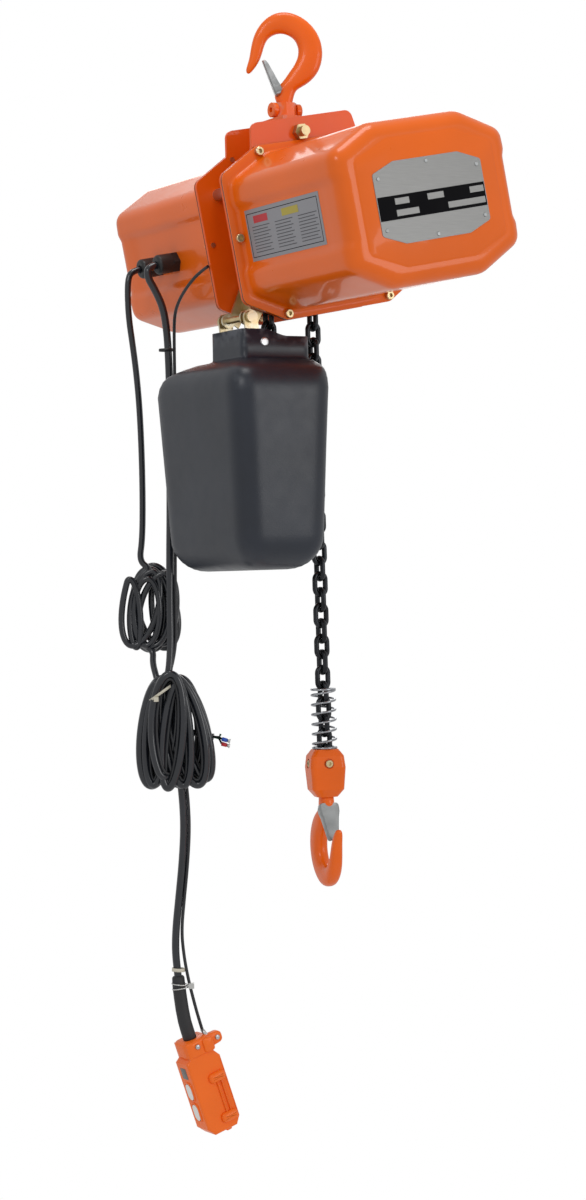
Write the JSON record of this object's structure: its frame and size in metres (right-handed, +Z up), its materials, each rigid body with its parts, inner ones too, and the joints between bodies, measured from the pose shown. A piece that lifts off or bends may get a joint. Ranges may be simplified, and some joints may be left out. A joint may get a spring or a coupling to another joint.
{
  "type": "electric chain hoist",
  "caption": "Electric chain hoist with swivel top hook, bolted two-cover body, load chain and hook block, chain container and push-button pendant.",
  "frame": {"origin": "saddle of the top hook, where the supporting ring or beam clamp bears", "axes": "+Z up, Y along the motor axis with the nameplate cover towards -Y, -X towards the chain container"},
  "size_m": [0.3155, 0.5691, 1.3754],
  "materials": {
    "hook_orange": "forged and orange painted, rubbed bright at the saddle",
    "latch_grey": "pressed steel, zinc plated",
    "steel": "machined steel",
    "yellow_zinc": "yellow zinc plated",
    "orange": "gloss orange enamel",
    "orange_dark": "orange enamel in shade between the plates",
    "chain_black": "hardened and blackened",
    "chrome": "bright spring steel",
    "rubber": "black rubber",
    "cord_black": "black cord sheath",
    "strain": "sheathed steel wire",
    "container": "satin moulded polymer",
    "pendant": "moulded orange shell",
    "button_white": "white push caps",
    "label": "plain nameplate",
    "cast_alloy": "die cast alloy",
    "stator": "laminations and windings",
    "coil": "copper winding in its steel pot",
    "lining": "brake lining",
    "fan": "moulded fan",
    "electrics": "moulded electrical parts",
    "gland": "black nylon",
    "guide": "cast and orange painted"
  },
  "bodies": {
    "top_hook": {"top_hook": "hook_orange", "top_hook_nut": "steel", "top_latch_pin": "steel"},
    "top_latch": {"top_hook_latch": "latch_grey"},
    "suspension": {"suspension_block_front": "hook_orange", "suspension_block_rear": "hook_orange", "suspension_block_screws": "hook_orange"},
    "hoist_body": {"suspension_bolt": "yellow_zinc", "front_plate": "orange", "rear_plate": "orange", "frame_spacers": "steel", "front_cover": "orange", "rear_cover": "orange", "cover_gaskets": "rubber", "cover_screws": "yellow_zinc", "nameplate": "label", "nameplate_rivets": "latch_grey", "motor_housing": "cast_alloy", "stator": "stator", "shaft_bearings": "steel", "brake_coil": "coil", "gear_case": "cast_alloy", "chain_guide": "guide", "limit_switch": "electrics", "control_gear": "electrics", "cable_glands": "gland", "container_bracket": "yellow_zinc", "slack_chain": "chain_black", "power_cord": "cord_black", "power_coil": "cord_black", "pendant_cord_upper": "cord_black", "cord_hank": "cord_black", "pendant_cord_lower": "cord_black", "strain_wire": "strain", "pendant_boot": "rubber", "pendant_shell_front": "pendant", "pendant_shell_rear": "pendant"},
    "rotor": {"rotor_shaft": "steel", "brake_disc": "lining", "cooling_fan": "fan"},
    "countershaft": {"countershaft": "steel", "first_gear": "steel"},
    "sheave": {"load_sheave": "chain_black", "output_gear": "steel"},
    "limit_lever": {"limit_lever": "steel"},
    "load": {"chain_run": "chain_black", "chain_pin": "steel", "hook_block_front": "hook_orange", "hook_block_rear": "hook_orange", "hook_block_screws": "yellow_zinc", "limit_spring": "chrome"},
    "load_hook": {"load_hook": "hook_orange", "load_hook_nut": "steel", "load_latch_pin": "steel"},
    "load_latch": {"load_hook_latch": "latch_grey"},
    "container": {"chain_container": "container", "container_hanger": "yellow_zinc", "container_screws": "yellow_zinc"},
    "up_button": {"up_button": "button_white"},
    "down_button": {"down_button": "button_white"}
  },
  "joints": [
    {"name": "top_latch_hinge", "type": "hinge", "parent": "top_hook", "child": "top_latch", "pos_m": [-0.00669, 0.00382, -0.0698], "axis": [0.4955, 0.8686, 0], "range_deg": [0, 30], "stiffness_Nm_per_rad": 0.05, "springref_deg": -22.92},
    {"name": "hook_swivel", "type": "hinge", "parent": "top_hook", "child": "suspension", "pos_m": [0, 0, -0.1], "axis": [0, 0, 1], "continuous": true},
    {"name": "body_swing", "type": "hinge", "parent": "suspension", "child": "hoist_body", "pos_m": [0, 0, -0.124], "axis": [0, 1, 0], "range_deg": [-8, 12]},
    {"name": "hook_lift", "type": "slide", "parent": "hoist_body", "child": "load", "axis": [0, 0, 1], "range_m": [-0.09, 0.08], "deforming": ["slack_chain"]},
    {"name": "sheave_spin", "type": "hinge", "parent": "hoist_body", "child": "sheave", "pos_m": [-0.00049, 0, -0.23931], "axis": [0, 1, 0], "continuous": true},
    {"name": "countershaft_spin", "type": "hinge", "parent": "hoist_body", "child": "countershaft", "pos_m": [0.03628, 0, -0.18939], "axis": [0, 1, 0], "continuous": true},
    {"name": "rotor_spin", "type": "hinge", "parent": "hoist_body", "child": "rotor", "pos_m": [0.06447, 0, -0.22762], "axis": [0, 1, 0], "continuous": true},
    {"name": "limit_lever_hinge", "type": "hinge", "parent": "hoist_body", "child": "limit_lever", "pos_m": [0.07218, 0, -0.31565], "axis": [0, 1, 0], "range_deg": [0, 6], "stiffness_Nm_per_rad": 0.4, "springref_deg": -8.59},
    {"name": "load_hook_swivel", "type": "hinge", "parent": "load", "child": "load_hook", "pos_m": [0.03026, 0, -0.94], "axis": [0, 0, 1], "continuous": true},
    {"name": "load_latch_hinge", "type": "hinge", "parent": "load_hook", "child": "load_latch", "pos_m": [0.02879, -0.00756, -0.9402], "axis": [0.9816, -0.1908, 0], "range_deg": [0, 30], "stiffness_Nm_per_rad": 0.05, "springref_deg": -22.92},
    {"name": "container_swing", "type": "hinge", "parent": "hoist_body", "child": "container", "pos_m": [-0.074, 0, -0.347], "axis": [0, 1, 0], "range_deg": [-4, 8]},
    {"name": "up_press", "type": "slide", "parent": "hoist_body", "child": "up_button", "axis": [0.9511, 0, 0.309], "range_m": [0, 0.0035], "stiffness_N_per_m": 400, "springref_m": -0.002},
    {"name": "down_press", "type": "slide", "parent": "hoist_body", "child": "down_button", "axis": [0.9511, 0, 0.309], "range_m": [0, 0.0035], "stiffness_N_per_m": 400, "springref_m": -0.002}
  ],
  "couplings": [
    {"joint": "sheave_spin", "follows": "hook_lift", "rad_per_m": -33.069},
    {"joint": "countershaft_spin", "follows": "hook_lift", "rad_per_m": 137.79},
    {"joint": "rotor_spin", "follows": "hook_lift", "rad_per_m": -734.88}
  ]
}
